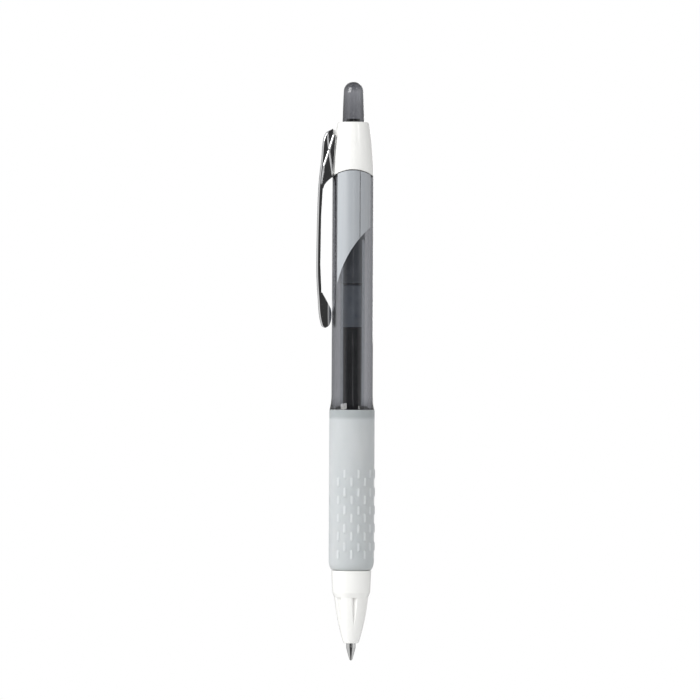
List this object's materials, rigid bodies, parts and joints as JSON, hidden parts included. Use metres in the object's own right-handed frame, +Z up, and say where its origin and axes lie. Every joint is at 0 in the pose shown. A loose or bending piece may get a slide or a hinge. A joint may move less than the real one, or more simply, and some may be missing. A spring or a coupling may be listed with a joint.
{
  "type": "gel pen",
  "caption": "Retractable gel pen: smoke-clear barrel, milky ribbed grip, white collar and nose cone, steel pocket clip, push button and a sliding gel refill.",
  "frame": {"origin": "lowest point of the writing ball, on the pen's axis, with the tip out", "axes": "+Z up the pen's axis from the writing ball to the push button; the pocket clip is on -X; Y is across the clip"},
  "size_m": [0.0149, 0.0116, 0.1433],
  "materials": {
    "smoke_clear_plastic": "smoke-tinted clear moulded plastic, polished",
    "pale_film": "thin pale silvery film bonded to the outside of the barrel",
    "frosted_grip": "milky translucent elastomer, satin",
    "white_plastic": "white moulded plastic, glossy",
    "inner_white_plastic": "natural white moulded plastic",
    "black_plastic": "black moulded plastic",
    "grey_plastic": "smoky grey moulded plastic",
    "holder_plastic": "natural translucent plastic",
    "refill_plastic": "clear drawn plastic tube",
    "black_ink": "wet black gel ink",
    "clear_grease": "translucent grease",
    "tip_steel": "turned stainless steel",
    "ball_carbide": "polished carbide",
    "spring_steel": "drawn spring wire",
    "clip_chrome": "bright plated steel"
  },
  "bodies": {
    "housing": {"barrel": "smoke_clear_plastic", "barrel_film_front": "pale_film", "barrel_film_back": "pale_film", "grip_sleeve": "frosted_grip", "collar": "white_plastic", "cam_guide": "inner_white_plastic"},
    "push_button": {"button": "smoke_clear_plastic", "thrust_crown": "black_plastic"},
    "refill": {"refill_tube": "refill_plastic", "ink_column": "black_ink", "ink_follower": "clear_grease", "tail_plug": "grey_plastic", "tip_holder": "holder_plastic", "valve_ball": "tip_steel", "tip_body": "tip_steel", "ball_spring": "spring_steel"},
    "writing_ball": {"writing_ball": "ball_carbide"},
    "rotor": {"rotor": "inner_white_plastic"},
    "nose_spring_seat": {"return_spring": "spring_steel"},
    "nose": {"nose_cone": "white_plastic"},
    "pocket_clip": {"clip": "clip_chrome"}
  },
  "joints": [
    {"name": "button_slide", "type": "slide", "parent": "housing", "child": "push_button", "axis": [0, 0, 1], "range_m": [-0.0012, 0.0053]},
    {"name": "refill_slide", "type": "slide", "parent": "housing", "child": "refill", "axis": [0, 0, 1], "range_m": [-0.0012, 0.0053], "deforming": ["return_spring"]},
    {"name": "rotor_turn", "type": "hinge", "parent": "refill", "child": "rotor", "pos_m": [0, 0, 0.114], "axis": [0, 0, 1], "continuous": true},
    {"name": "ball_roll", "type": "hinge", "parent": "refill", "child": "writing_ball", "pos_m": [0, 0, 0.00025], "axis": [1, 0, 0], "continuous": true},
    {"name": "nose_travel", "type": "slide", "parent": "housing", "child": "nose_spring_seat", "axis": [0, 0, -1], "range_m": [0, 0.006]},
    {"name": "nose_turn", "type": "hinge", "parent": "nose_spring_seat", "child": "nose", "pos_m": [0, 0, 0.0224], "axis": [0, 0, -1], "range_deg": [0, 1441]},
    {"name": "clip_flex", "type": "hinge", "parent": "housing", "child": "pocket_clip", "pos_m": [-0.005, 0, 0.129], "axis": [0, 1, 0], "range_deg": [0, 5], "stiffness_Nm_per_rad": 0.05, "springref_deg": -57.3}
  ],
  "couplings": [
    {"joint": "refill_slide", "follows": "button_slide", "ratio": 1},
    {"joint": "nose_turn", "follows": "nose_travel", "rad_per_m": 4188.8}
  ]
}
